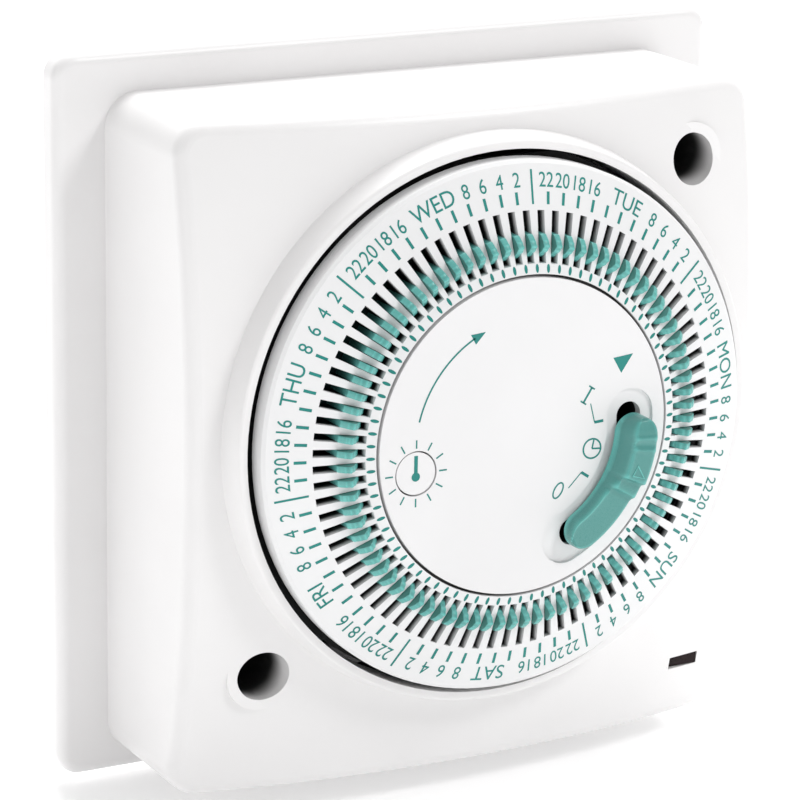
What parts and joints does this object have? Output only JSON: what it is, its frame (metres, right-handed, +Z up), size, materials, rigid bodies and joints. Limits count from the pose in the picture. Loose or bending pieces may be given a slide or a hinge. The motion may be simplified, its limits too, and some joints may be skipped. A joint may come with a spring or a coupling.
{
  "type": "programmable timer",
  "caption": "Wall-mounted seven-day segment timer: square plate, domed cover, slotted programme ring with sliding tappets, fixed centre disc with manual lever, geared movement and switch.",
  "frame": {"origin": "middle of the wall plate's flat back face", "axes": "+Z up the wall, +Y into the wall, so the dial faces -Y; +X to the right as seen from the front"},
  "size_m": [0.12, 0.0544, 0.12],
  "materials": {
    "casing": "fine satin moulding",
    "dial_plastic": "smooth satin",
    "teal_plastic": "satin",
    "plated_steel": "zinc plated",
    "dark_lens": "polished",
    "lamp_glass": "clear",
    "movement_plastic": "moulded",
    "gear_plastic": "moulded acetal",
    "brass": "bright"
  },
  "bodies": {
    "housing": {"cover": "casing", "cover_screws": "plated_steel", "dial_seat": "movement_plastic", "fascia_disc": "dial_plastic", "fixed_contact": "brass", "follower_pin": "plated_steel", "indicator_lamp": "lamp_glass", "indicator_window": "dark_lens", "lever_pin": "plated_steel", "motor": "plated_steel", "motor_coil": "brass", "movement_case": "movement_plastic", "movement_deck": "movement_plastic", "movement_screws": "plated_steel", "switch_base": "movement_plastic", "terminal_block": "movement_plastic", "terminal_clamps": "brass", "terminal_screws": "plated_steel", "wall_plate": "casing"},
    "dial": {"programme_dial": "dial_plastic", "tappet_carrier": "movement_plastic", "dial_gear": "gear_plastic", "tappets_friday": "teal_plastic", "tappets_monday": "teal_plastic", "tappets_saturday": "teal_plastic", "tappets_sunday": "teal_plastic", "tappets_thursday": "teal_plastic", "tappets_tuesday": "teal_plastic"},
    "reduction": {"dial_pinion": "gear_plastic", "reduction_wheel": "gear_plastic"},
    "motor_shaft": {"motor_pinion": "brass"},
    "indicator": {"indicator_wheel": "gear_plastic", "running_indicator": "dial_plastic"},
    "lever": {"override_lever": "teal_plastic", "lever_arm": "gear_plastic"},
    "follower": {"switch_follower": "gear_plastic"},
    "contact_blade": {"moving_contact": "brass"},
    "tappet_01": {"tappet_01": "teal_plastic"},
    "tappet_02": {"tappet_02": "teal_plastic"},
    "tappet_03": {"tappet_03": "teal_plastic"},
    "tappet_04": {"tappet_04": "teal_plastic"},
    "tappet_05": {"tappet_05": "teal_plastic"},
    "tappet_06": {"tappet_06": "teal_plastic"},
    "tappet_07": {"tappet_07": "teal_plastic"},
    "tappet_08": {"tappet_08": "teal_plastic"},
    "tappet_09": {"tappet_09": "teal_plastic"},
    "tappet_10": {"tappet_10": "teal_plastic"},
    "tappet_11": {"tappet_11": "teal_plastic"},
    "tappet_12": {"tappet_12": "teal_plastic"}
  },
  "joints": [
    {"name": "dial_turn", "type": "hinge", "parent": "housing", "child": "dial", "pos_m": [0, -0.04, 0.003], "axis": [0, 1, 0], "continuous": true},
    {"name": "reduction_turn", "type": "hinge", "parent": "housing", "child": "reduction", "pos_m": [-0.03246, -0.03, -0.00296], "axis": [0, 1, 0], "continuous": true},
    {"name": "motor_turn", "type": "hinge", "parent": "housing", "child": "motor_shaft", "pos_m": [-0.02503, -0.03, -0.01038], "axis": [0, 1, 0], "continuous": true},
    {"name": "indicator_turn", "type": "hinge", "parent": "housing", "child": "indicator", "pos_m": [-0.01918, -0.03, -0.00052], "axis": [0, 1, 0], "continuous": true},
    {"name": "lever_turn", "type": "hinge", "parent": "housing", "child": "lever", "pos_m": [0, -0.042, 0.003], "axis": [0, -1, 0], "range_deg": [-18, 18]},
    {"name": "follower_turn", "type": "hinge", "parent": "housing", "child": "follower", "pos_m": [0.037, -0.037, 0], "axis": [0, 1, 0], "range_deg": [0, 6], "stiffness_Nm_per_rad": 0.02, "springref_deg": -5.73},
    {"name": "blade_turn", "type": "hinge", "parent": "housing", "child": "contact_blade", "pos_m": [0.0316, -0.025, -0.002], "axis": [0, -1, 0], "range_deg": [0, 2.4]},
    {"name": "tappet_01_slide", "type": "slide", "parent": "dial", "child": "tappet_01", "axis": [-0.7148, 0, 0.6993], "range_m": [0, 0.0026]},
    {"name": "tappet_02_slide", "type": "slide", "parent": "dial", "child": "tappet_02", "axis": [-0.6605, 0, 0.7508], "range_m": [0, 0.0026]},
    {"name": "tappet_03_slide", "type": "slide", "parent": "dial", "child": "tappet_03", "axis": [-0.6026, 0, 0.7981], "range_m": [0, 0.0026]},
    {"name": "tappet_04_slide", "type": "slide", "parent": "dial", "child": "tappet_04", "axis": [-0.5413, 0, 0.8409], "range_m": [0, 0.0026]},
    {"name": "tappet_05_slide", "type": "slide", "parent": "dial", "child": "tappet_05", "axis": [-0.4769, 0, 0.8789], "range_m": [0, 0.0026]},
    {"name": "tappet_06_slide", "type": "slide", "parent": "dial", "child": "tappet_06", "axis": [-0.4099, 0, 0.9121], "range_m": [0, 0.0026]},
    {"name": "tappet_07_slide", "type": "slide", "parent": "dial", "child": "tappet_07", "axis": [-0.3406, 0, 0.9402], "range_m": [0, 0.0026]},
    {"name": "tappet_08_slide", "type": "slide", "parent": "dial", "child": "tappet_08", "axis": [-0.2694, 0, 0.963], "range_m": [0, 0.0026]},
    {"name": "tappet_09_slide", "type": "slide", "parent": "dial", "child": "tappet_09", "axis": [-0.1967, 0, 0.9805], "range_m": [0, 0.0026]},
    {"name": "tappet_10_slide", "type": "slide", "parent": "dial", "child": "tappet_10", "axis": [-0.1228, 0, 0.9924], "range_m": [0, 0.0026]},
    {"name": "tappet_11_slide", "type": "slide", "parent": "dial", "child": "tappet_11", "axis": [-0.0483, 0, 0.9988], "range_m": [0, 0.0026]},
    {"name": "tappet_12_slide", "type": "slide", "parent": "dial", "child": "tappet_12", "axis": [0.0265, 0, 0.9997], "range_m": [0, 0.0026]}
  ],
  "couplings": [
    {"joint": "reduction_turn", "follows": "dial_turn", "ratio": -10},
    {"joint": "motor_turn", "follows": "dial_turn", "ratio": 25},
    {"joint": "indicator_turn", "follows": "dial_turn", "ratio": 12.5},
    {"joint": "blade_turn", "follows": "follower_turn", "ratio": 0.4}
  ]
}
